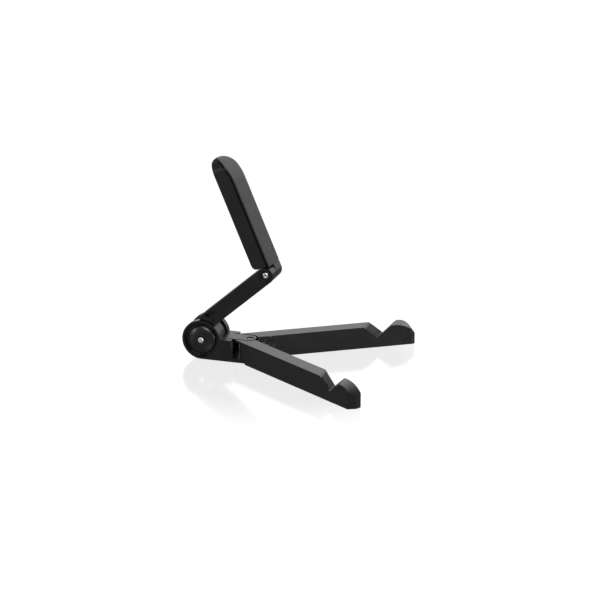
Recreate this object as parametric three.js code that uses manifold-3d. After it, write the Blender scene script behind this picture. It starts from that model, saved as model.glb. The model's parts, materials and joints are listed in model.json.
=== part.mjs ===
// Folding tablet stand: a hub with two swinging legs, a tilting link arm and a tilting backrest.
// Units are millimetres, +Z is up, +X points forward to the leg tips. "near" is the -Y side.
// Sizes are worked out about the hub axle; the last lines move the origin to the middle of the footprint.
import * as THREE from "three";
import { mergeVertices } from "three/addons/utils/BufferGeometryUtils.js";
import Module from "manifold-3d";

const wasm = await Module();
wasm.setup();

const GAP = 0.3; // clearance between pieces that touch
const RAD = Math.PI / 180;

// Heights above the table
const SOLE_Z = 0.4; // underside of the mouldings; the rubber feet stand this proud
const HUB_R = 16; // hub cheek radius
const AXLE_Z = SOLE_Z + HUB_R;
const TOP_Z = SOLE_Z + 17.8; // top of the legs, the hub roof and the tongue
const PLATE_TOP = 3.7; // top of the hub's floor plate
const ROOF_BOTTOM = TOP_Z - 2;

// Hub
const HUB_HALF = 12; // half of the hub's width
const CHEEK_IN = 7.3; // inner face of a cheek
const HUB_NOSE_X = 25; // front end of the hub's side walls
const HUB_WALL_X = 21.5; // front of the block behind the leg roots
const NOSE_IN = 7.8; // inner face of a side wall in front of the block
const CAP_R = 11.5;
const CAP_RECESS_R = 14.4;
const CAP_RECESS_Y = 9.8; // floor of the recess that holds a cap
const CAP_GROOVE_Y = 8.4; // floor of the groove round the cap
const CAP_DOME = 2.1; // how far a cap's dome rises over its rim
const AXLE_R = 2;
const SCREW_HEAD_R = 2.5;
const DRUM_R = 14.5; // link drum where the arm leaves it
const DRUM_SMALL_R = 12.3; // the same drum over the floor plate
const DRUM_HALF = 6.35;
const WASHER_T = 0.35;

// Leg pivot and legs
const PIVOT_X = 37.4;
const PIVOT_R = 1.8;
const PIVOT_HEAD_R = 2.6;
const TONGUE_HALF = 6.3; // half-width of the tongue, and the radius of its tip
const TONGUE_TIP_X = 35.8; // centre of the tip's arc
const TONGUE_GAP = 1.4; // slot between the tongue and the legs' top skins
const FLOOR_TIP_R = 6;
const LEG_W = 12.1;
const LEG_OFFSET = 6.25; // pivot axis to leg centreline
const LEG_LEN = 138.2; // pivot axis to leg tip, along the leg
const LEG_OPEN = 33.15 * RAD; // half of the spread
const LEG_TIP_R = 3; // rounding of the tip's inner plan corner
const TIP_CUT = { side: 3.4, end: 5.6 }; // slant across the tip's outer plan corner
const LEG_WALL = 2.2;
const LEG_SKIN_X = 26; // the leg's top skin reaches back to here when the leg is open
const EAR_R = 5.8;
const EAR_LEVELS = { near: [10.3, ROOF_BOTTOM - GAP], far: [4, 9.3] };
const HEEL_R = 14.7; // clearance radius of the leg's heel round the floor plate
const POCKET = { start: 22, end: 94, roof: TOP_Z - 2.4 };
const FOOT = { start: 110.5, end: 132.5 };

// Notch and hook at the end of each leg, in side view
const NOTCH_BACK_X = 116.1;
const NOTCH_X = 125.9;
const NOTCH_Z = SOLE_Z + 8.1;
const HOOK_X = 134.4;
const HOOK_TOP = TOP_Z - 0.3;
// the hook's nose falls along a quarter ellipse that starts further out on the leg's outer side
const NOSE_DROP = 17;
const NOSE_START = { inner: 120.2, outer: 127 };
const NOSE_END = 140.4;
const GRIP_T = 1.7;
const GRIP_SUNK = 0.9;

// Link arm, in its own frame: x along the arm, z across it, origin on the hub axle
const LINK_ANGLE = 41 * RAD;
const LINK_LEN = 78.9; // hub axle to elbow, along the arm
const LINK_T = 13.1;
const LINK_HALF = 11.4;
const LINK_OFFSET = 8.8; // elbow axis to the line through the hub axle
const LINK_TOP = LINK_OFFSET + LINK_T / 2;
const LINK_BOTTOM = LINK_OFFSET - LINK_T / 2;
const LINK_CLEAR_R = 17.3; // the arm keeps outside this radius over the cheeks
const LINK_SKIN = 2;
const LAP_Y = -2.3; // the arm's lug at the elbow lies on the near side of this plane
// triangular pocket in each side of the arm over the hub
const LINK_POCKET = [[15.9, 14], [25.4, 12.1], [18.3, 4.2]];
const LUG_BORE = { rim: 5.9, rimDepth: 0.9, head: 4.1, headDepth: 2.3 };

// Backrest, in its own frame: z along it, x to its front, origin on the elbow axis
const BACK_LEAN = 23 * RAD;
const BACK_HALF = 11.4;
const BACK_REAR = -7.65;
const BACK_LIP = 3.9; // front edge of the shell
const FACING_REAR = 5.7; // the facing stands off from the shell, which leaves a slot all round
const BACK_FACE = 6.7; // front face of the facing
const BACK_BOTTOM = 6.9;
const FACING_BOTTOM = 6;
const BACK_TOP = 99.5;
const BACK_WALL = 1.8;
// the front curves back over the top along a quarter ellipse about this point
const BEND = { x: -5.6, z: 76.3, rise: 23.6 };
const HEEL_ROUND = 4; // lower rear corner of the shell
const CROWN_ROUND = 3; // upper rear corner
const LUG_R = 6.5;
const LUG_IN = -1.4; // the backrest's lug lies on the far side of this plane
const NECK_REAR = -2.2;

const COLOURS = {
  plastic: [0x1b1b1c, 0.42, 0],
  rubber: [0x2b2b2a, 0.75, 0],
  steel: [0xb9b9b6, 0.3, 1],
};

// ---------- solids ----------

function solid(geometry) {
  geometry.deleteAttribute("normal");
  geometry.deleteAttribute("uv");
  const merged = mergeVertices(geometry, 1e-5);
  return new wasm.Manifold(
    new wasm.Mesh({
      numProp: 3,
      vertProperties: new Float32Array(merged.attributes.position.array),
      triVerts: new Uint32Array(merged.index.array),
    }),
  );
}

function geometryOf(manifold) {
  const mesh = manifold.getMesh();
  const geometry = new THREE.BufferGeometry();
  geometry.setAttribute("position", new THREE.BufferAttribute(mesh.vertProperties, 3));
  geometry.setIndex(new THREE.BufferAttribute(mesh.triVerts, 1));
  return geometry;
}

const join = (first, ...others) => others.reduce((whole, part) => whole.add(part), first);
const cut = (first, ...tools) => tools.reduce((whole, tool) => whole.subtract(tool), first);

const polygon = (points) => new THREE.Shape(points.map(([x, y]) => new THREE.Vector2(x, y)));

// a plan outline (x, y) raised from z0 to z1
function plate(shape, z0, z1, curveSegments = 10) {
  const geometry = new THREE.ExtrudeGeometry(shape, { depth: z1 - z0, bevelEnabled: false, curveSegments });
  return solid(geometry.translate(0, 0, z0));
}

// a side-view outline (x, z) drawn out from y0 to y1
function slab(shape, y0, y1, curveSegments = 10) {
  const geometry = new THREE.ExtrudeGeometry(shape, { depth: y1 - y0, bevelEnabled: false, curveSegments });
  return solid(geometry.rotateX(Math.PI / 2).translate(0, y1, 0));
}

// a front-view outline (y, z) drawn out from x0 to x1
function panel(shape, x0, x1, curveSegments = 10) {
  const geometry = new THREE.ExtrudeGeometry(shape, { depth: x1 - x0, bevelEnabled: false, curveSegments });
  return solid(geometry.rotateX(Math.PI / 2).rotateZ(Math.PI / 2).translate(x0, 0, 0));
}

function box(x0, x1, y0, y1, z0, z1) {
  const geometry = new THREE.BoxGeometry(x1 - x0, y1 - y0, z1 - z0);
  return solid(geometry.translate((x0 + x1) / 2, (y0 + y1) / 2, (z0 + z1) / 2));
}

function rodY(radius, y0, y1, x = 0, z = 0, sides = 40) {
  const geometry = new THREE.CylinderGeometry(radius, radius, y1 - y0, sides);
  return solid(geometry.translate(x, (y0 + y1) / 2, z));
}

function rodZ(radius, z0, z1, x = 0, y = 0, sides = 40) {
  const geometry = new THREE.CylinderGeometry(radius, radius, z1 - z0, sides).rotateX(Math.PI / 2);
  return solid(geometry.translate(x, y, (z0 + z1) / 2));
}

function rodX(radius, x0, x1, y, z, sides = 20) {
  const geometry = new THREE.CylinderGeometry(radius, radius, x1 - x0, sides).rotateZ(Math.PI / 2);
  return solid(geometry.translate((x0 + x1) / 2, y, z));
}

// a profile of (radius, y) points turned about the Y axis; it starts and ends on the axis
const turned = (points, sides = 40) =>
  solid(new THREE.LatheGeometry(points.map(([r, y]) => new THREE.Vector2(r, y)), sides));

function node(name, manifold, look) {
  const [color, roughness, metalness] = COLOURS[look];
  const mesh = new THREE.Mesh(geometryOf(manifold), new THREE.MeshStandardMaterial({ color, roughness, metalness }));
  mesh.name = name;
  return mesh;
}

// mirror a span on the near side (-Y) or keep it on the far side (+Y)
const span = (side, inner, outer) => (side > 0 ? [inner, outer] : [-outer, -inner]);
const SIDES = { near: -1, far: 1 };

// ---------- fasteners ----------

// a pan-head machine screw along Y: head on the near side, plain end on the far side
function crossScrew(headFace, headBase, tail) {
  const crown = headFace - 0.5;
  const screw = turned([
    [0, -headFace],
    [SCREW_HEAD_R * 0.6, -headFace],
    [SCREW_HEAD_R, -crown],
    [SCREW_HEAD_R, -headBase],
    [AXLE_R, -headBase],
    [AXLE_R, tail],
    [0, tail],
  ], 32);
  const slot = headFace - 0.9;
  const wide = SCREW_HEAD_R * 0.55;
  return cut(
    screw,
    box(-wide, wide, -headFace - 1, -slot, -0.35, 0.35),
    box(-0.35, 0.35, -headFace - 1, -slot, -wide, wide),
  );
}

const hexNut = (radius, y0, y1) => cut(rodY(radius, y0, y1, 0, 0, 6), rodY(AXLE_R + GAP, y0 - 1, y1 + 1));

const washer = (radius, hole, y0, y1) => cut(rodY(radius, y0, y1), rodY(hole, y0 - 1, y1 + 1));

// ---------- hub ----------

function cheekOutline() {
  const shape = new THREE.Shape();
  const topStart = Math.asin((TOP_Z - AXLE_Z) / HUB_R);
  shape.moveTo(0, SOLE_Z);
  shape.lineTo(HUB_NOSE_X, SOLE_Z);
  shape.lineTo(HUB_NOSE_X, TOP_Z);
  shape.lineTo(HUB_R * Math.cos(topStart), TOP_Z);
  shape.absarc(0, AXLE_Z, HUB_R, topStart, 1.5 * Math.PI, false);
  return shape;
}

// the roof's tongue runs forward over the leg pivot and ends in an arc
function tongueOutline(spare) {
  const half = TONGUE_HALF + spare;
  const shape = new THREE.Shape();
  shape.moveTo(HUB_WALL_X - 2, -half);
  shape.lineTo(TONGUE_TIP_X, -half);
  shape.absarc(TONGUE_TIP_X, 0, half, -Math.PI / 2, Math.PI / 2, false);
  shape.lineTo(HUB_WALL_X - 2, half);
  return shape;
}

function floorOutline() {
  const shape = new THREE.Shape();
  const cornerX = PIVOT_X + 0.6;
  const lean = 0.5;
  shape.moveTo(2, -HUB_HALF);
  shape.lineTo(cornerX, -HUB_HALF);
  shape.lineTo(cornerX + 2, -HUB_HALF + 1.2);
  shape.absarc(PIVOT_X, 0, FLOOR_TIP_R, -lean, lean, false);
  shape.lineTo(cornerX + 2, HUB_HALF - 1.2);
  shape.lineTo(cornerX, HUB_HALF);
  shape.lineTo(2, HUB_HALF);
  return shape;
}

function hubBody() {
  const cheeks = Object.values(SIDES).map((side) => slab(cheekOutline(), ...span(side, CHEEK_IN, HUB_HALF), 48));
  const block = box(6, HUB_WALL_X, -CHEEK_IN - 1, CHEEK_IN + 1, SOLE_Z, TOP_Z);
  const roof = box(16, HUB_WALL_X, -HUB_HALF, HUB_HALF, ROOF_BOTTOM, TOP_Z);
  const noseRoom = box(HUB_WALL_X, HUB_NOSE_X + 1, -NOSE_IN, NOSE_IN, -1, TOP_Z + 1);
  const drumRoom = cut(rodY(DRUM_R + 0.45, -CHEEK_IN, CHEEK_IN, 0, AXLE_Z, 64), box(-20, 20, -9, 9, 0, PLATE_TOP));
  const roofRoom = box(-20, 14, -CHEEK_IN, CHEEK_IN, AXLE_Z, AXLE_Z + 20);
  const capRooms = Object.values(SIDES).map((side) =>
    rodY(CAP_RECESS_R, ...span(side, CAP_RECESS_Y, HUB_HALF + 1), 0, AXLE_Z, 64));
  const grooves = Object.values(SIDES).map((side) => cut(
    rodY(CAP_RECESS_R, ...span(side, CAP_GROOVE_Y, CAP_RECESS_Y + 1), 0, AXLE_Z, 64),
    rodY(CAP_R + GAP, -20, 20, 0, AXLE_Z, 64),
  ));
  return cut(
    join(
      cut(join(cheeks[0], cheeks[1]), noseRoom),
      block,
      roof,
      plate(tongueOutline(0), ROOF_BOTTOM, TOP_Z, 16),
      plate(floorOutline(), SOLE_Z, PLATE_TOP, 16),
    ),
    drumRoom,
    roofRoom,
    ...capRooms,
    ...grooves,
    rodY(AXLE_R + GAP, -20, 20, 0, AXLE_Z),
    rodZ(PIVOT_R + GAP, -1, 20, PIVOT_X, 0, 24),
    rodZ(PIVOT_HEAD_R + 0.4, TOP_Z - 1.6, 20, PIVOT_X, 0, 32),
    rodZ(3.6, -1, 2.3, PIVOT_X, 0, 6),
    rodZ(5.3, -1, 1.6, 14, 0, 32),
  );
}

// a shallow dome with a counterbore for the screw head
function hubCap(side) {
  const rim = CAP_RECESS_Y + GAP;
  const edge = rim + 1.1;
  const points = [[0, rim], [CAP_R, rim], [CAP_R, edge]];
  const steps = 8;
  for (let i = 1; i <= steps; i += 1) {
    const turn = (i / steps) * (Math.PI / 2);
    points.push([CAP_R * Math.cos(turn) ** 0.75, edge + CAP_DOME * Math.sin(turn)]);
  }
  points[points.length - 1][0] = 0;
  const headRoom = rodY(SCREW_HEAD_R + 0.5, edge + 0.6, edge + 5);
  const cap = cut(turned(points, 48), headRoom, rodY(AXLE_R + GAP, 0, 20));
  return side > 0 ? cap : cap.rotate([180, 0, 0]);
}

function pivotScrew() {
  const top = TOP_Z - 0.4;
  const screw = turned([
    [0, 0.6],
    [PIVOT_R, 0.6],
    [PIVOT_R, top - 1],
    [PIVOT_HEAD_R, top - 0.5],
    [PIVOT_HEAD_R, top],
    [0, top],
  ], 32).rotate([90, 0, 0]);
  const slot = box(-1.5, 1.5, -0.3, 0.3, top - 0.5, top + 1);
  return cut(screw, slot, slot.rotate([0, 0, 90])).translate([PIVOT_X, 0, 0]);
}

const pivotNut = () => cut(rodZ(3.2, 0.6, 2, PIVOT_X, 0, 6), rodZ(PIVOT_R + GAP, 0, 3, PIVOT_X, 0, 24));

const pivotWasher = () =>
  cut(rodZ(4.6, 9.6, 10, PIVOT_X, 0, 32), rodZ(PIVOT_R + GAP, 9, 11, PIVOT_X, 0, 24));

function hubNodes() {
  const high = (manifold) => manifold.translate([0, 0, AXLE_Z]);
  const washerIn = DRUM_HALF + GAP;
  const headBase = CAP_RECESS_Y + GAP + 1.1 + 0.6 + GAP;
  return [
    node("hub_body", hubBody(), "plastic"),
    ...Object.entries(SIDES).map(([name, side]) => node(`hub_cap_${name}`, high(hubCap(side)), "plastic")),
    ...Object.entries(SIDES).map(([name, side]) =>
      node(`hub_washer_${name}`, high(washer(9, AXLE_R + GAP, ...span(side, washerIn, washerIn + WASHER_T))), "steel")),
    node("hub_axle_screw", high(crossScrew(headBase + 1.5, headBase, headBase + 1.2)), "steel"),
    node("hub_axle_nut", high(hexNut(2.95, headBase, headBase + 1.6)), "steel"),
    node("leg_pivot_screw", pivotScrew(), "steel"),
    node("leg_pivot_nut", pivotNut(), "steel"),
    node("leg_pivot_washer", pivotWasher(), "steel"),
    node("hub_foot", rodZ(5, 0, 1.3, 14, 0, 32), "rubber"),
  ];
}

// ---------- legs ----------

// a piece drawn with the pivot at the origin and the leg along +x, swung open to its side
function swing(manifold, side) {
  return manifold.rotate([0, 0, (side * LEG_OPEN) / RAD]).translate([PIVOT_X, 0, 0]);
}

// a rectangle beside the pivot, from x0 to x1 along the leg and inset from the leg's sides
function legRect(side, x0, x1, inset, corner = 0) {
  const inner = side * (LEG_OFFSET - LEG_W / 2 + inset);
  const outer = side * (LEG_OFFSET + LEG_W / 2 - inset);
  const low = Math.min(inner, outer);
  const high = Math.max(inner, outer);
  const shape = new THREE.Shape();
  shape.moveTo(x0 + corner, low);
  shape.absarc(x1 - corner, low + corner, corner, -Math.PI / 2, 0, false);
  shape.absarc(x1 - corner, high - corner, corner, 0, Math.PI / 2, false);
  shape.absarc(x0 + corner, high - corner, corner, Math.PI / 2, Math.PI, false);
  shape.absarc(x0 + corner, low + corner, corner, Math.PI, 1.5 * Math.PI, false);
  return shape;
}

// the triangle that the slant takes off the tip's outer corner
function tipCorner(side) {
  const outer = side * (LEG_OFFSET + LEG_W / 2);
  const inward = -side;
  const points = [
    [LEG_LEN - TIP_CUT.side, outer],
    [LEG_LEN, outer + inward * TIP_CUT.end],
    [LEG_LEN + 5, outer + inward * TIP_CUT.end],
    [LEG_LEN + 5, outer - inward * 5],
    [LEG_LEN - TIP_CUT.side, outer - inward * 5],
  ];
  return polygon(side > 0 ? points : points.reverse());
}

// everything above the notch, in side view, up to the hook's crest
function notchOutline() {
  return polygon([
    [NOTCH_BACK_X - 2, TOP_Z + 5],
    [NOTCH_BACK_X - 0.4, TOP_Z + 0.5],
    [NOTCH_X, NOTCH_Z],
    [HOOK_X, HOOK_TOP - 0.9],
    [HOOK_X + 1.2, HOOK_TOP],
    [HOOK_X + 30, HOOK_TOP],
    [HOOK_X + 30, TOP_Z + 5],
  ]);
}

// everything above the hook's nose: an outline of unit length, stretched to start where "startAt" says
function noseRoom(side) {
  const shape = new THREE.Shape();
  shape.moveTo(-0.15, HOOK_TOP);
  const steps = 14;
  for (let i = 0; i <= steps; i += 1) {
    const turn = (i / steps) * 0.46 * Math.PI;
    shape.lineTo(Math.sin(turn), HOOK_TOP - NOSE_DROP * (1 - Math.cos(turn)));
  }
  shape.lineTo(1.6, HOOK_TOP - NOSE_DROP * 0.8);
  shape.lineTo(1.6, TOP_Z + 5);
  shape.lineTo(-0.15, TOP_Z + 5);
  const inner = LEG_OFFSET - LEG_W / 2;
  const [y0, y1] = span(side, inner - 2, inner + LEG_W + 2);
  const geometry = new THREE.ExtrudeGeometry(shape, { depth: y1 - y0, bevelEnabled: false });
  geometry.rotateX(Math.PI / 2).translate(0, y1, 0);
  const place = geometry.attributes.position;
  for (let i = 0; i < place.count; i += 1) {
    const across = (side * place.getY(i) - inner) / LEG_W;
    const start = NOSE_START.inner + (NOSE_START.outer - NOSE_START.inner) * across;
    place.setX(i, start + place.getX(i) * (NOSE_END - start));
  }
  return solid(geometry);
}

// a strip along the slope on the hub side of the notch, from "deep" below its face to "proud" above it
function slopeStrip(deep, proud, ends) {
  const run = new THREE.Vector2(NOTCH_X - NOTCH_BACK_X, NOTCH_Z - TOP_Z);
  const along = run.clone().normalize();
  const out = new THREE.Vector2(-along.y, along.x);
  const start = new THREE.Vector2(NOTCH_BACK_X, TOP_Z).addScaledVector(along, 2.2 - ends);
  const stop = new THREE.Vector2(NOTCH_X, NOTCH_Z).addScaledVector(along, -1.4 + ends);
  const corner = (base, by) => base.clone().addScaledVector(out, by).toArray();
  return polygon([corner(start, -deep), corner(stop, -deep), corner(stop, proud), corner(start, proud)]);
}

function legBody(name, side) {
  const [earLow, earHigh] = EAR_LEVELS[name];
  const [otherLow, otherHigh] = name === "near" ? [PLATE_TOP, 10.3] : [9.6, ROOF_BOTTOM + 0.2];
  const bar = plate(legRect(side, 0, LEG_LEN, 0, LEG_TIP_R), SOLE_Z, TOP_Z, 6);
  const skin = plate(legRect(side, -22, 12, 0), ROOF_BOTTOM - GAP, TOP_Z);
  const ear = rodZ(EAR_R, earLow, earHigh);
  const pocket = plate(legRect(side, POCKET.start, POCKET.end, LEG_WALL, 1.5), 0, POCKET.roof, 3);
  const rebate = plate(legRect(side, POCKET.start - 1.2, POCKET.end + 1.2, LEG_WALL - 1, 2), 0, 2.6, 3);
  const heel = rodZ(HEEL_R, 0, PLATE_TOP + GAP, 0, 0, 64);
  const otherEar = rodZ(EAR_R + 0.35, otherLow, otherHigh, 0, 0, 40);
  const raw = swing(join(cut(bar, heel, otherEar), skin, ear), side);
  const hollow = swing(join(pocket, rebate), side);
  const footRoom = swing(plate(legRect(side, FOOT.start - GAP, FOOT.end + GAP, 2.2, 2), 0, 1.6, 3), side);
  const gripReach = span(side, 40, 110);
  const gripRoom = slab(slopeStrip(GRIP_SUNK, 3, GAP), ...gripReach).intersect(
    swing(plate(legRect(side, 60, 127, 1.1), 0, 30), side));
  return cut(
    raw,
    slab(notchOutline(), ...gripReach),
    swing(join(noseRoom(side), plate(tipCorner(side), -1, TOP_Z + 1)), side),
    plate(tongueOutline(TONGUE_GAP), ROOF_BOTTOM - GAP, TOP_Z + 1, 16),
    box(0, LEG_SKIN_X, -40, 40, 0, 30),
    rodZ(PIVOT_R + GAP + 0.1, -1, 20, PIVOT_X, 0, 24),
    hollow,
    footRoom,
    gripRoom,
  );
}

function notchGrip(side) {
  return slab(slopeStrip(GRIP_SUNK - GAP, GRIP_T - GRIP_SUNK, 0), ...span(side, 40, 110)).intersect(
    swing(plate(legRect(side, 60, 127, 1.1 + GAP), 0, 30), side));
}

function legNodes(name) {
  const side = SIDES[name];
  const cover = plate(legRect(side, POCKET.start - 0.9, POCKET.end + 0.9, LEG_WALL - 0.7, 1.8), SOLE_Z, 2.3, 3);
  const foot = plate(legRect(side, FOOT.start, FOOT.end, 2.5, 1.8), 0, 1.3, 3);
  return [
    node(`leg_${name}`, legBody(name, side), "plastic"),
    node(`leg_cover_${name}`, swing(cover, side), "plastic"),
    node(`notch_grip_${name}`, notchGrip(side), "rubber"),
    node(`leg_foot_${name}`, swing(foot, side), "rubber"),
  ];
}

// ---------- link arm ----------

// the arm in side view; its lower end is then rounded to clear the hub
function armOutline() {
  return polygon([
    [13, LINK_BOTTOM],
    [LINK_LEN, LINK_BOTTOM],
    [LINK_LEN, LINK_TOP],
    [Math.sqrt(LINK_CLEAR_R ** 2 - LINK_TOP ** 2), LINK_TOP],
  ]);
}

function drumOutline() {
  const shape = new THREE.Shape();
  const from = -45 * RAD;
  const to = 100 * RAD;
  shape.absarc(0, 0, DRUM_R, from, to, false);
  shape.absarc(0, 0, DRUM_SMALL_R, to, from + 2 * Math.PI, false);
  return shape;
}

function linkArm() {
  const lug = rodY(LINK_T / 2, -LINK_HALF, LAP_Y, LINK_LEN, LINK_OFFSET, 48);
  const drum = slab(drumOutline(), -DRUM_HALF, DRUM_HALF, 28);
  const web = slab(polygon([[4, LINK_BOTTOM], [30, LINK_BOTTOM], [30, LINK_TOP - 2], [4, 13.5]]), -DRUM_HALF, DRUM_HALF);
  const lapRoom = join(
    rodY(LUG_R + 0.6, LAP_Y, 20, LINK_LEN, LINK_OFFSET, 48),
    box(LINK_LEN, LINK_LEN + 10, LAP_Y, 20, LINK_BOTTOM - 1, LINK_TOP + 1),
  );
  const cheekRoom = rodY(LINK_CLEAR_R, -20, 20, 0, 0, 96);
  const sideRoom = Object.values(SIDES).map((side) => cheekRoom.intersect(
    box(-20, 20, ...span(side, DRUM_HALF, 20), -20, 20)));
  const pockets = Object.values(SIDES).map((side) =>
    slab(polygon(LINK_POCKET), ...span(side, DRUM_HALF, LINK_HALF + 1)));
  return cut(
    join(slab(armOutline(), -LINK_HALF, LINK_HALF), lug, web, drum),
    ...sideRoom,
    ...pockets,
    lapRoom,
    box(33, 67, -LINK_HALF + 2.2, LINK_HALF - 2.2, 0, LINK_TOP - LINK_SKIN),
    box(31.8, 68.2, -LINK_HALF + 1.2, LINK_HALF - 1.2, 0, LINK_BOTTOM + 2),
    rodY(AXLE_R + GAP, -20, 20, 0, 0, 24),
    rodY(AXLE_R + GAP, -20, 20, LINK_LEN, LINK_OFFSET, 24),
    rodY(LUG_BORE.head, -LINK_HALF - 1, -LINK_HALF + LUG_BORE.headDepth, LINK_LEN, LINK_OFFSET, 32),
    rodY(LUG_BORE.rim, -LINK_HALF - 1, -LINK_HALF + LUG_BORE.rimDepth, LINK_LEN, LINK_OFFSET, 40),
  );
}

function linkNodes() {
  const atElbow = (manifold) => manifold.translate([LINK_LEN, 0, LINK_OFFSET]);
  const cover = box(32.1, 67.9, -LINK_HALF + 1.5, LINK_HALF - 1.5, LINK_BOTTOM, LINK_BOTTOM + 1.7);
  const headBase = LINK_HALF - LUG_BORE.headDepth + GAP;
  return [
    node("link_arm", linkArm(), "plastic"),
    node("link_cover", cover, "plastic"),
    node("elbow_screw", atElbow(crossScrew(headBase + 1.5, headBase, headBase + 1.6)), "steel"),
    node("elbow_washer", atElbow(washer(5.4, AXLE_R + GAP, LAP_Y + GAP, LUG_IN - GAP)), "steel"),
  ];
}

// ---------- backrest ----------

// front view: square foot and a half-round top, drawn "inset" inside the backrest's outer edge
function backOutline(inset, bottom = BACK_BOTTOM) {
  const half = BACK_HALF - inset;
  const shape = new THREE.Shape();
  shape.moveTo(-half, bottom + inset);
  shape.lineTo(half, bottom + inset);
  shape.absarc(0, BACK_TOP - BACK_HALF, half, 0, Math.PI, false);
  return shape;
}

// the part of a side view that curves back over the top from a front at x = face
function bendBack(shape, face) {
  const lower = (BACK_FACE - face) * 0.7;
  shape.lineTo(face, BEND.z);
  shape.absellipse(BEND.x, BEND.z, face - BEND.x, BEND.rise - lower, 0, Math.PI / 2, false, 0);
}

// everything behind a front at x = face, with the shell's rear corners rounded
function behind(face) {
  const shape = new THREE.Shape();
  shape.moveTo(BACK_REAR + HEEL_ROUND, BACK_BOTTOM);
  shape.lineTo(face, BACK_BOTTOM);
  bendBack(shape, face);
  shape.absarc(BACK_REAR + CROWN_ROUND, BACK_TOP - CROWN_ROUND, CROWN_ROUND, Math.PI / 2, Math.PI, false);
  shape.absarc(BACK_REAR + HEEL_ROUND, BACK_BOTTOM + HEEL_ROUND, HEEL_ROUND, Math.PI, 1.5 * Math.PI, false);
  return slab(shape, -20, 20, 20);
}

// the same, square at the rear and open below
function behindFacing(face) {
  const shape = new THREE.Shape();
  shape.moveTo(BEND.x, 0);
  shape.lineTo(face, 0);
  bendBack(shape, face);
  return slab(shape, -20, 20, 20);
}

const BACK_SCREWS = [24, 48, 72]; // heights of the three screws under the facing

function backShell() {
  const tray = cut(
    panel(backOutline(0), BACK_REAR, BACK_LIP, 28).intersect(behind(BACK_LIP)),
    panel(backOutline(BACK_WALL), BACK_REAR + 2, BACK_LIP + 1, 28),
    box(NECK_REAR - 0.4, 10, LUG_IN - 0.4, BACK_HALF - BACK_WALL, 0, BACK_BOTTOM + BACK_WALL + 1),
  );
  const bosses = BACK_SCREWS.map((z) => cut(
    rodX(2.7, BACK_REAR + 1, 0.5, 0, z),
    rodX(1.4, BACK_REAR + 3, 2, 0, z),
  ));
  return join(tray, ...bosses);
}

function backFrame() {
  const front = FACING_REAR - GAP;
  const sheet = panel(backOutline(BACK_WALL + GAP), 0.8, front, 28).intersect(behind(front - 0.4));
  const lug = rodY(LUG_R, LUG_IN, BACK_HALF, 0, 0, 48);
  const lugFront = box(0, LUG_R, LUG_IN, BACK_HALF, 0, FACING_BOTTOM - GAP);
  const neck = box(NECK_REAR, front, LUG_IN, BACK_HALF - BACK_WALL - GAP, 0, 14);
  const holes = BACK_SCREWS.flatMap((z) => [rodX(1.3, -3, 8, 0, z), rodX(2.6, 1.8, 8, 0, z)]);
  return cut(
    join(sheet, lug, lugFront, neck),
    rodY(AXLE_R + GAP, -20, 20, 0, 0, 24),
    rodY(3.6, BACK_HALF - 1.9, BACK_HALF + 1, 0, 0, 32),
    ...holes,
  );
}

const backFacing = () => cut(
  panel(backOutline(0, FACING_BOTTOM), BEND.x + 1, BACK_FACE + 1, 28).intersect(behindFacing(BACK_FACE)),
  behindFacing(FACING_REAR),
);

const backScrew = (z) => join(rodX(1, -3.5, 3, 0, z), rodX(2.2, 2.1, 3, 0, z));

function backNodes() {
  const headBase = BACK_HALF - 1.6;
  return [
    node("back_shell", backShell(), "plastic"),
    node("back_frame", backFrame(), "plastic"),
    node("back_facing", backFacing(), "rubber"),
    ...BACK_SCREWS.map((z, i) => node(`back_screw_${i + 1}`, backScrew(z), "steel")),
    node("elbow_nut", hexNut(2.95, headBase, headBase + 1.5), "steel"),
  ];
}

// ---------- assembly ----------

const linkGroup = new THREE.Group();
linkGroup.position.set(0, 0, AXLE_Z);
linkGroup.rotation.y = -LINK_ANGLE;
linkGroup.add(...linkNodes());

const backGroup = new THREE.Group();
backGroup.position.set(
  LINK_LEN * Math.cos(LINK_ANGLE) - LINK_OFFSET * Math.sin(LINK_ANGLE),
  0,
  AXLE_Z + LINK_LEN * Math.sin(LINK_ANGLE) + LINK_OFFSET * Math.cos(LINK_ANGLE),
);
backGroup.rotation.y = -BACK_LEAN;
backGroup.add(...backNodes());

// the forward-most point is the rounded inner corner of a leg tip
const TIP_X = PIVOT_X
  + (LEG_LEN - LEG_TIP_R) * Math.cos(LEG_OPEN)
  - (LEG_OFFSET - LEG_W / 2 + LEG_TIP_R) * Math.sin(LEG_OPEN)
  + LEG_TIP_R;

const stand = new THREE.Group();
stand.add(...hubNodes(), ...legNodes("near"), ...legNodes("far"), linkGroup, backGroup);
stand.position.x = -(TIP_X - HUB_R) / 2;

export default stand;
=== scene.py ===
"""The looks of the folding tablet stand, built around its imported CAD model. Lengths are in metres."""

import json
import math

import bmesh
import bpy
from mathutils import Matrix, Vector


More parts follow.
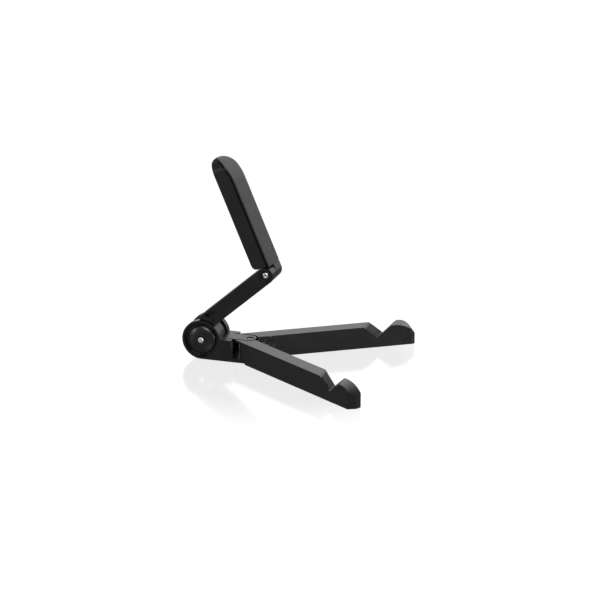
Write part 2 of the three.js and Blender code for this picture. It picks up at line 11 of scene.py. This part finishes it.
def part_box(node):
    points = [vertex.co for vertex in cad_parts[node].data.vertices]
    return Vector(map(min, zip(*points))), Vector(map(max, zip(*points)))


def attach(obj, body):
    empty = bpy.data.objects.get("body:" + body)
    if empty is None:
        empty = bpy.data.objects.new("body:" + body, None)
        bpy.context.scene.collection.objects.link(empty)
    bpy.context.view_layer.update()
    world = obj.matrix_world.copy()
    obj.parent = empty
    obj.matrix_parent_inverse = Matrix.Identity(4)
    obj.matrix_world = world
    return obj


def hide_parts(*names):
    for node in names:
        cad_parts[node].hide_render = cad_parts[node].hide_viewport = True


MM = 0.001
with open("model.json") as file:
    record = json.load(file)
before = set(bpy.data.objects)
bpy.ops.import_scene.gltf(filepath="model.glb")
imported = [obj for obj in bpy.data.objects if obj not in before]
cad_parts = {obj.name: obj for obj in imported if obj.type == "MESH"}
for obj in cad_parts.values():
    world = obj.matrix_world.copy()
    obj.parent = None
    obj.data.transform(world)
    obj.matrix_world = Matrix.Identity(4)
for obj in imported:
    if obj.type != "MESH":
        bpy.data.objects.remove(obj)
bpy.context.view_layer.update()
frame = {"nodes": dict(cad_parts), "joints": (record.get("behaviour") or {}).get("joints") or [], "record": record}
JOINTS = {joint["name"]: Vector(joint["pos_m"]) for joint in frame["joints"]}
HUB = JOINTS["link_tilt"]
ELBOW = JOINTS["back_tilt"]
PIVOT = JOINTS["leg_near_swing"]
BODY_OF = {node: body for body, nodes in frame["record"]["behaviour"]["bodies"].items() for node in nodes}
SLOT_OF = {part["node"]: part["material_slot"] for part in frame["record"]["subparts"]}
BACK_LEAN = math.radians(23)  # the backrest's lean from upright


# ---------- materials ----------


class Nodes:
    """A short way to write a material's node tree."""

    def __init__(self, name):
        self.material = bpy.data.materials.new(name)
        self.material.use_nodes = True
        self.tree = self.material.node_tree
        self.shader = self.tree.nodes["Principled BSDF"]

    def add(self, kind, inputs=(), **settings):
        made = self.tree.nodes.new(kind)
        for key, value in settings.items():
            setattr(made, key, value)
        for socket, value in dict(inputs).items():
            if isinstance(value, bpy.types.NodeSocket):
                self.tree.links.new(value, made.inputs[socket])
            else:
                made.inputs[socket].default_value = value
        return made

    def place(self):
        return self.add("ShaderNodeTexCoord").outputs["Object"]

    def noise(self, scale, detail=3.0, roughness=0.5):
        inputs = {"Vector": self.place(), "Scale": scale, "Detail": detail, "Roughness": roughness}
        return self.add("ShaderNodeTexNoise", inputs).outputs["Fac"]

    def spread(self, value, low, high, source=(0.3, 0.7)):
        inputs = {"Value": value, "From Min": source[0], "From Max": source[1], "To Min": low, "To Max": high}
        return self.add("ShaderNodeMapRange", inputs).outputs["Result"]

    def mix(self, factor, first, second):
        made = self.add("ShaderNodeMix", {"Factor": factor}, data_type="RGBA")
        made.inputs["A"].default_value = (*first, 1)
        made.inputs["B"].default_value = (*second, 1)
        return made.outputs["Result"]

    def math(self, operation, first, second):
        return self.add("ShaderNodeMath", {0: first, 1: second}, operation=operation).outputs[0]

    def bump(self, height, strength, distance):
        inputs = {"Height": height, "Strength": strength, "Distance": distance}
        return self.add("ShaderNodeBump", inputs).outputs["Normal"]

    def link(self, value, socket):
        self.tree.links.new(value, self.shader.inputs[socket])


def moulded_plastic(name, dark, light, rough, grain=1500.0, grain_depth=0.00003):
    """Black injection-moulded plastic: fine spark-eroded grain, faint flow clouding, paler worn edges."""
    nodes = Nodes(name)
    edges = nodes.add("ShaderNodeNewGeometry").outputs["Pointiness"]
    wear = nodes.spread(edges, 0.0, 0.35, (0.52, 0.62))
    clouds = nodes.spread(nodes.noise(38.0, 4.0), 0.0, 0.5)
    nodes.link(nodes.mix(nodes.math("ADD", clouds, wear), dark, light), "Base Color")
    nodes.link(nodes.spread(nodes.noise(160.0, 5.0), rough - 0.02, rough + 0.03), "Roughness")
    nodes.link(nodes.bump(nodes.noise(grain, 2.0, 0.7), 0.2, grain_depth), "Normal")
    nodes.shader.inputs["IOR"].default_value = 1.5
    return nodes.material


def rubber(name, dark, light):
    """Matte rubber with a sandy bump and a little dust."""
    nodes = Nodes(name)
    nodes.link(nodes.mix(nodes.spread(nodes.noise(240.0, 6.0), 0.0, 1.0), dark, light), "Base Color")
    nodes.link(nodes.spread(nodes.noise(420.0), 0.62, 0.8), "Roughness")
    nodes.link(nodes.bump(nodes.noise(2200.0, 2.0), 0.5, 0.00005), "Normal")
    nodes.shader.inputs["IOR"].default_value = 1.48
    return nodes.material


def plated_steel(name):
    """Bright zinc plating with fine scratches."""
    nodes = Nodes(name)
    stains = nodes.spread(nodes.noise(900.0), 0.0, 1.0)
    nodes.link(nodes.mix(stains, (0.6, 0.6, 0.59), (0.78, 0.78, 0.76)), "Base Color")
    nodes.link(nodes.spread(nodes.noise(1400.0, 4.0), 0.24, 0.4), "Roughness")
    nodes.link(nodes.bump(nodes.noise(1800.0), 0.25, 0.00003), "Normal")
    nodes.shader.inputs["Metallic"].default_value = 1.0
    return nodes.material


MATERIALS = {
    "black_plastic": moulded_plastic("black_plastic", (0.005, 0.005, 0.0055), (0.011, 0.011, 0.011), 0.29),
    "soft_pad": moulded_plastic(
        "soft_pad", (0.016, 0.016, 0.0155), (0.026, 0.026, 0.025), 0.45, grain=1100.0, grain_depth=0.00005
    ),
    "black_rubber": rubber("black_rubber", (0.012, 0.012, 0.012), (0.026, 0.026, 0.025)),
    "bright_steel": plated_steel("bright_steel"),
}


# ---------- pieces from the CAD solids ----------


def flat_faced(node):
    """A copy of a CAD solid with its coplanar triangles joined into whole faces."""
    work = bmesh.new()
    work.from_mesh(frame["nodes"][node].data)
    bmesh.ops.remove_doubles(work, verts=work.verts, dist=2e-6)
    bmesh.ops.dissolve_limit(
        work, angle_limit=math.radians(0.6), verts=work.verts, edges=work.edges, use_dissolve_boundaries=False
    )
    return work


def sharp(work, angle=24.0):
    limit = math.radians(angle)
    return [edge for edge in work.edges if edge.is_manifold and edge.calc_face_angle(0.0) > limit]


def round_edges(work, edges, radius, segments):
    bmesh.ops.bevel(
        work,
        geom=edges,
        offset=radius,
        offset_type="OFFSET",
        segments=segments,
        profile=0.5,
        affect="EDGES",
        clamp_overlap=True,
        loop_slide=True,
    )


def finish_piece(work, name, node):
    mesh = bpy.data.meshes.new(name)
    bmesh.ops.recalc_face_normals(work, faces=work.faces)
    for face in work.faces:
        face.smooth = True
    work.to_mesh(mesh)
    work.free()
    mesh.materials.append(MATERIALS[SLOT_OF[node]])
    piece = bpy.data.objects.new(name, mesh)
    bpy.context.scene.collection.objects.link(piece)
    normals = piece.modifiers.new("even shading", "WEIGHTED_NORMAL")
    normals.weight = 80
    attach(piece, BODY_OF[node])
    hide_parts(node)
    return piece


def dressed(node, radius, segments=3, wide=()):
    """The node's shape with sharp edges rounded; "wide" holds (test, radius) of larger rounds done first."""
    work = flat_faced(node)
    for test, wide_radius in wide:
        round_edges(work, [edge for edge in sharp(work) if test(edge)], wide_radius, 6)
    round_edges(work, sharp(work), radius, segments)
    return finish_piece(work, node + "_piece", node)


def middle(edge):
    return (edge.verts[0].co + edge.verts[1].co) / 2


def upright(edge):
    run = edge.verts[1].co - edge.verts[0].co
    return abs(run.z) > 0.9 * run.length


# ---------- turned pieces ----------


def turned(points, sides=128):
    """A closed solid turned about the Z axis from (radius, height) points that start and end on the axis."""
    work = bmesh.new()
    rings = []
    for radius, height in points:
        if radius == 0:
            rings.append([work.verts.new((0, 0, height))] * sides)
            continue
        turns = [2 * math.pi * i / sides for i in range(sides)]
        rings.append([work.verts.new((radius * math.cos(t), radius * math.sin(t), height)) for t in turns])
    for low, high in zip(rings, rings[1:]):
        for i in range(sides):
            corners = [low[i], low[(i + 1) % sides], high[(i + 1) % sides], high[i]]
            work.faces.new(list(dict.fromkeys(corners)))
    return work


def lathe_ring(points, sides=128):
    """A ring turned about the Z axis from a closed profile that never meets the axis."""
    return turned([*points, points[0]], sides)


def recess(span, width, depth):
    """The tool that cuts a cross recess down from z = 0: two crossed wedges, narrower at the bottom."""
    work = bmesh.new()
    for turn in (0, math.pi / 2):
        made = bmesh.ops.create_cube(work, size=1)["verts"]
        for vert in made:
            narrow = 0.45 if vert.co.z < 0 else 1.05
            height = -depth if vert.co.z < 0 else 0.1 * depth
            vert.co = Vector((vert.co.x * span * narrow, vert.co.y * width, height))
        bmesh.ops.rotate(work, verts=made, cent=(0, 0, 0), matrix=Matrix.Rotation(turn, 3, "Z"))
    return work


def temporary(work):
    mesh = bpy.data.meshes.new("temporary")
    work.to_mesh(mesh)
    work.free()
    made = bpy.data.objects.new("temporary", mesh)
    bpy.context.scene.collection.objects.link(made)
    return made


def carved(work, tool):
    """The solid with the tool cut out of it."""
    body, cutter = temporary(work), temporary(tool)
    cut = body.modifiers.new("cut", "BOOLEAN")
    cut.object = cutter
    cut.solver = "EXACT"
    cut.use_self = True
    shape = body.evaluated_get(bpy.context.evaluated_depsgraph_get()).to_mesh()
    result = bmesh.new()
    result.from_mesh(shape)
    for used in (body, cutter):
        bpy.data.objects.remove(used)
    return result


def stand_at(work, place, outward):
    """Turns the work's +Z to point outward and moves its origin to "place"."""
    turn = Vector(outward).to_track_quat("Z", "Y").to_matrix().to_4x4()
    bmesh.ops.transform(work, matrix=Matrix.Translation(place) @ turn, verts=work.verts)
    return work


def crisp(work, angle=35.0):
    for edge in sharp(work, angle):
        edge.smooth = False
    return work


def screw(node, outward, sunk, head, cross):
    """A cross-head screw in the node's place, its head's face "sunk" below the node's."""
    low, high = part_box(node)
    axis = Vector(outward)
    extent = high - low
    tall = abs(extent.dot(axis))
    length = tall - sunk
    across = extent - axis * extent.dot(axis)
    radius = max(abs(across.x), abs(across.y)) / 2
    depth, crown = head
    shank = radius * 0.6
    turns = [math.pi / 2 * i / 12 for i in range(12)]
    dome = [(radius * math.cos(turn) ** 0.6, crown * (math.sin(turn) - 1)) for turn in turns]
    tip = [(0, -length), (shank - 0.2 * MM, -length), (shank, 0.3 * MM - length)]
    shoulder = [(shank, -depth), (radius, -depth)]
    work = carved(turned([*tip, *shoulder, *dome, (0, 0)]), recess(*cross))
    face = (low + high) / 2 + axis * (tall / 2 - sunk)
    return finish_piece(crisp(stand_at(work, face, outward)), node + "_piece", node)


def hub_cap(side, outward):
    """The domed cap over the hub axle, with its counterbore for the screw or the nut."""
    node = "hub_cap_" + side
    low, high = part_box(node)
    radius = (high.x - low.x) / 2
    edge, rise = 0.5 * MM, 2.65 * MM  # height of the rim, and of the dome over it
    hole, bore, floor = 2.3 * MM, 3.0 * MM, 1.7 * MM  # screw hole, counterbore and its floor
    lip_start = bore + 0.3 * MM
    turns = [math.pi / 2 * i / 24 for i in range(25)]
    dome = [
        (radius * math.cos(turn), edge + rise * math.sin(turn))
        for turn in turns
        if radius * math.cos(turn) > lip_start
    ]
    lip = [(lip_start, dome[-1][1] + 0.03 * MM), (bore, dome[-1][1] - 0.25 * MM)]
    base = [(hole, 0), (radius - 0.2 * MM, 0), (radius, 0.2 * MM)]
    points = [*base, *dome, *lip, (bore, floor), (hole, floor)]
    place = Vector((HUB.x, low.y if outward > 0 else high.y, HUB.z))
    finish_piece(crisp(stand_at(lathe_ring(points), place, (0, outward, 0))), node + "_piece", node)


# ---------- the stand ----------


TIP_START = 98 * MM  # from the leg pivot forward to where a leg's end corners begin


def tip_corner(edge):
    """An upright corner at the free end of a leg."""
    return upright(edge) and middle(edge).x > PIVOT.x + TIP_START


def back_frame_of(point):
    """A point in the backrest's own frame: x to its front, z along it, from the elbow axis."""
    return Matrix.Rotation(BACK_LEAN, 3, "Y") @ (point - ELBOW)


def shell_outside(edge):
    """An edge of the shell's rear, away from its open rim."""
    return back_frame_of(middle(edge)).x < -5 * MM


SMALL_ROUND = {
    "bright_steel": 0.12 * MM,
    "black_rubber": 0.3 * MM,
    "soft_pad": 0.35 * MM,
    "black_plastic": 0.4 * MM,
}
TIP_ROUND = 1.2 * MM
WIDE_ROUNDS = {
    "leg_near": [(tip_corner, TIP_ROUND)],
    "leg_far": [(tip_corner, TIP_ROUND)],
    "back_shell": [(shell_outside, 0.6 * MM)],
}
PAN_HEAD = (1.4 * MM, 0.8 * MM)  # depth of the head and height of its crown
FLAT_HEAD = (0.5 * MM, 0.3 * MM)
SMALL_CROSS = (2.6 * MM, 0.5 * MM, 0.8 * MM)  # span, width and depth of the recess
WIDE_CROSS = (4.0 * MM, 1.0 * MM, 1.0 * MM)
PIVOT_SUNK = 0.3 * MM
PURPOSE_BUILT = ("hub_axle_screw", "elbow_screw", "leg_pivot_screw", "hub_cap_near", "hub_cap_far")

screw("hub_axle_screw", (0, -1, 0), 0.0, PAN_HEAD, SMALL_CROSS)
screw("elbow_screw", (0, -1, 0), 0.0, PAN_HEAD, SMALL_CROSS)
screw("leg_pivot_screw", (0, 0, 1), PIVOT_SUNK, FLAT_HEAD, WIDE_CROSS)
hub_cap("near", -1)
hub_cap("far", 1)
for name in frame["nodes"]:
    if name not in PURPOSE_BUILT:
        dressed(name, SMALL_ROUND[SLOT_OF[name]], wide=WIDE_ROUNDS.get(name, ()))


# ---------- studio ----------

FLOOR_SEEN = 0.80  # the floor's glow as the camera sees it
FLOOR_CAST = 0.16  # and as it lights the stand
GLOSS_REACH = (0.09, 0.15)  # the floor's gloss fades out between these distances from the origin
# strength of the surround against how far a direction points backwards (+Y)
WORLD_RAMP = {"From Min": 0.45, "From Max": 0.88, "To Min": 0.1, "To Max": 1.25}
LAMP_AIM = Vector((0, 0, 0.05))
CAMERA_SIDE = math.radians(17.89)
CAMERA_HEIGHT = math.radians(18.52)
CAMERA_DISTANCE = 2.006
CAMERA_AIM = Vector((8.06, 8.94, 51.07)) * MM
CAMERA_LENS = 152.28


def studio_floor():
    bpy.ops.mesh.primitive_plane_add(size=12)
    floor = bpy.context.object
    floor.name = "floor"
    nodes = Nodes("floor")
    nodes.shader.inputs["Base Color"].default_value = (0.03, 0.03, 0.03, 1)
    nodes.shader.inputs["Roughness"].default_value = 0.12
    nodes.shader.inputs["Emission Color"].default_value = (1, 1, 1, 1)
    away = nodes.add("ShaderNodeVectorMath", {0: nodes.place()}, operation="LENGTH").outputs["Value"]
    gloss = nodes.spread(away, 1.0, 0.0, GLOSS_REACH)
    nodes.link(nodes.math("MULTIPLY", gloss, 0.5), "Specular IOR Level")
    seen = nodes.spread(gloss, FLOOR_SEEN + 0.2, FLOOR_SEEN, (0.0, 1.0))
    camera_ray = nodes.add("ShaderNodeLightPath").outputs["Is Camera Ray"]
    glow = nodes.add("ShaderNodeMix", {"Factor": camera_ray, "A": FLOOR_CAST, "B": seen}, data_type="FLOAT")
    nodes.link(glow.outputs["Result"], "Emission Strength")
    floor.data.materials.append(nodes.material)


def studio_world():
    """A surround that is white behind the stand and dim everywhere else."""
    world = bpy.data.worlds.new("studio")
    world.use_nodes = True
    bpy.context.scene.world = world
    tree = world.node_tree
    background = tree.nodes["Background"]
    place = tree.nodes.new("ShaderNodeTexCoord")
    split = tree.nodes.new("ShaderNodeSeparateXYZ")
    tree.links.new(place.outputs["Generated"], split.inputs[0])
    ramp = tree.nodes.new("ShaderNodeMapRange")
    ramp.interpolation_type = "SMOOTHSTEP"
    for socket, value in WORLD_RAMP.items():
        ramp.inputs[socket].default_value = value
    tree.links.new(split.outputs["Y"], ramp.inputs["Value"])
    tree.links.new(ramp.outputs["Result"], background.inputs["Strength"])
    background.inputs["Color"].default_value = (1, 1, 1, 1)


def softbox(name, place, size, power):
    """A square lamp, or an upright strip where "size" is a pair of width and height, aimed at the stand."""
    light = bpy.data.objects.new(name, bpy.data.lights.new(name, "AREA"))
    if isinstance(size, tuple):
        light.data.shape = "RECTANGLE"
        light.data.size, light.data.size_y = size
    else:
        light.data.size = size
    light.data.energy = power
    light.location = place
    light.rotation_euler = (LAMP_AIM - light.location).to_track_quat("-Z", "Y").to_euler()
    bpy.context.scene.collection.objects.link(light)


def studio_camera():
    sight = Vector((
        -math.sin(CAMERA_SIDE) * math.cos(CAMERA_HEIGHT),
        math.cos(CAMERA_SIDE) * math.cos(CAMERA_HEIGHT),
        -math.sin(CAMERA_HEIGHT),
    ))
    data = bpy.data.cameras.new("camera")
    data.sensor_width = 36
    data.lens = CAMERA_LENS
    data.clip_end = 50
    camera = bpy.data.objects.new("camera", data)
    camera.location = CAMERA_AIM - sight * CAMERA_DISTANCE
    camera.rotation_euler = sight.to_track_quat("-Z", "Y").to_euler()
    bpy.context.scene.collection.objects.link(camera)
    bpy.context.scene.camera = camera


studio_floor()
studio_world()
softbox("overhead", (-0.36, 0.15, 0.95), 0.4, 5.0)
softbox("front", (0.1, -1.1, 0.9), 0.6, 12.0)
softbox("left_strip", (-0.9, -0.9, 0.2), (0.08, 0.4), 2.0)
softbox("right_strip", (1.15, -0.4, 0.2), (0.1, 0.4), 8.0)
studio_camera()
bpy.context.scene.view_settings.view_transform = "Standard"
